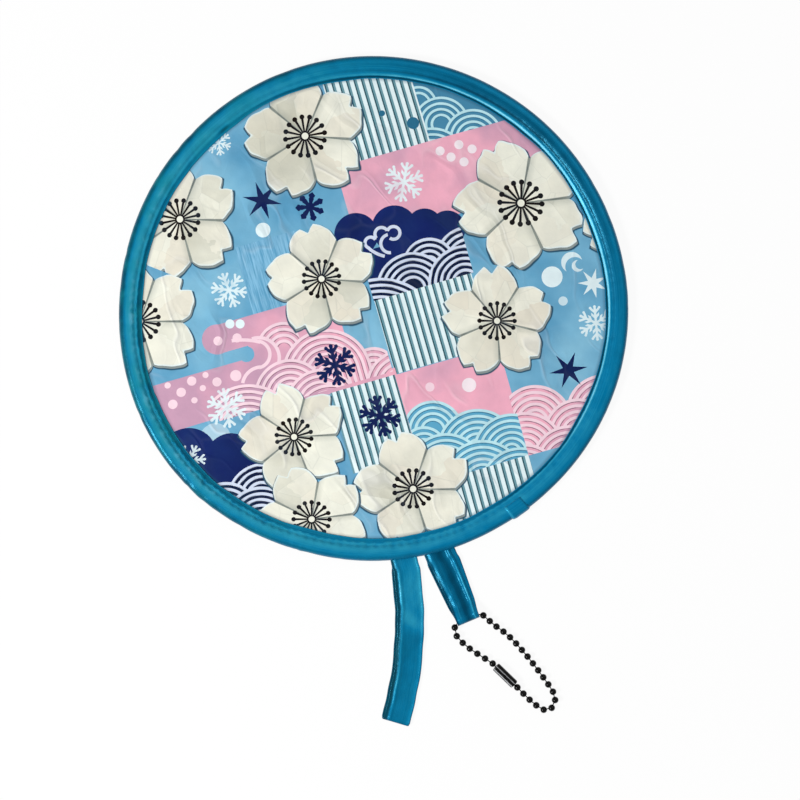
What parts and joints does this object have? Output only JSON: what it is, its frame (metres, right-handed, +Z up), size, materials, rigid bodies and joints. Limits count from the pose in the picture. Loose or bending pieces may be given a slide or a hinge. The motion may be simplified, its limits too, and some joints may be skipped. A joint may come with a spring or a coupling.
{
  "type": "folding fan",
  "caption": "Twist-folding round hand fan: spring hoop in a teal tape binding, printed fabric disc, long strap loop, and a ball chain in a tab.",
  "frame": {"origin": "middle of the bounding box's underside, with the fan lying flat, print side up", "axes": "+Z up from the surface the fan lies on, +Y in the disc's plane away from the strap and the chain, +X to the right as seen from above"},
  "size_m": [0.2, 0.2642, 0.0057],
  "materials": {
    "satin_teal": "satin tape with a soft sheen along its threads",
    "print_fabric": "matt printed polyester",
    "thread_teal": "polyester sewing thread",
    "spring_steel": "rolled spring steel",
    "sleeve_metal": "plain sheet steel",
    "black_metal": "glossy black coating"
  },
  "bodies": {
    "chain_row_1": {"chain_bead_15": "black_metal", "chain_bead_16": "black_metal", "chain_bead_17": "black_metal", "chain_bead_18": "black_metal", "chain_bead_27": "black_metal", "chain_bead_28": "black_metal", "chain_bead_29": "black_metal", "chain_bead_30": "black_metal"},
    "chain_row_2": {"chain_bead_01": "black_metal", "chain_bead_11": "black_metal", "chain_bead_12": "black_metal", "chain_bead_13": "black_metal", "chain_bead_14": "black_metal", "chain_bead_31": "black_metal", "chain_bead_32": "black_metal"},
    "chain_row_3": {"chain_bead_02": "black_metal", "chain_bead_03": "black_metal", "chain_bead_09": "black_metal", "chain_bead_10": "black_metal"},
    "chain_row_4": {"chain_bead_04": "black_metal", "chain_bead_05": "black_metal", "chain_bead_06": "black_metal", "chain_bead_07": "black_metal", "chain_bead_08": "black_metal"},
    "chain_top": {"chain_bead_19": "black_metal", "chain_bead_20": "black_metal", "chain_bead_21": "black_metal", "chain_bead_22": "black_metal", "chain_bead_23": "black_metal", "chain_bead_24": "black_metal", "chain_bead_25": "black_metal", "chain_bead_26": "black_metal"},
    "clasp": {"chain_clasp": "black_metal"},
    "fan_lower": {"binding_lap": "satin_teal", "binding_lower": "satin_teal", "bobbin_thread_lower": "thread_teal", "fabric_lower": "print_fabric", "hoop_joint_sleeve": "sleeve_metal", "hoop_wire_lower_left": "spring_steel", "hoop_wire_lower_right": "spring_steel", "needle_thread_lower": "thread_teal"},
    "fan_upper": {"binding_upper": "satin_teal", "bobbin_thread_upper": "thread_teal", "fabric_upper": "print_fabric", "hoop_wire_upper": "spring_steel", "needle_thread_upper": "thread_teal"},
    "strap": {"retaining_strap": "satin_teal"},
    "tab": {"chain_tab": "satin_teal"}
  },
  "joints": [
    {"name": "hoop_flex", "type": "hinge", "parent": "fan_lower", "child": "fan_upper", "pos_m": [0, 0.03212, 0.005], "axis": [1, 0, 0], "range_deg": [0, 120], "stiffness_Nm_per_rad": 0.05},
    {"name": "strap_swing", "type": "hinge", "parent": "fan_lower", "child": "strap", "pos_m": [0.01248, -0.06805, 0.00065], "axis": [-0.9923, -0.1236, 0], "range_deg": [-90, 90]},
    {"name": "tab_swing", "type": "hinge", "parent": "fan_lower", "child": "tab", "pos_m": [0.02698, -0.06516, 0.00065], "axis": [-0.9636, -0.2672, 0], "range_deg": [-90, 90]},
    {"name": "chain_swing", "type": "hinge", "parent": "tab", "child": "chain_top", "pos_m": [0.03704, -0.08886, 0.00205], "axis": [-0.9205, -0.3907, 0], "range_deg": [-60, 60]},
    {"name": "chain_fold_1", "type": "hinge", "parent": "chain_top", "child": "chain_row_1", "pos_m": [0.04197, -0.09596, 0.00143], "axis": [-0.9001, -0.4357, -0.0068], "range_deg": [-15, 15]},
    {"name": "chain_fold_2", "type": "hinge", "parent": "chain_row_1", "child": "chain_row_2", "pos_m": [0.05288, -0.10464, 0.0012], "axis": [-0.9065, -0.4222, 0], "range_deg": [-15, 15]},
    {"name": "chain_fold_3", "type": "hinge", "parent": "chain_row_2", "child": "chain_row_3", "pos_m": [0.06194, -0.11471, 0.0012], "axis": [-0.9321, -0.3623, 0], "range_deg": [-15, 15]},
    {"name": "chain_fold_4", "type": "hinge", "parent": "chain_row_3", "child": "chain_row_4", "pos_m": [0.06625, -0.11997, 0.0012], "axis": [-0.9461, -0.3238, 0], "range_deg": [-15, 15]},
    {"name": "clasp_spin", "type": "hinge", "parent": "chain_row_2", "child": "clasp", "pos_m": [0.05199, -0.112, 0.0018], "axis": [0.7193, -0.6947, 0], "continuous": true}
  ]
}
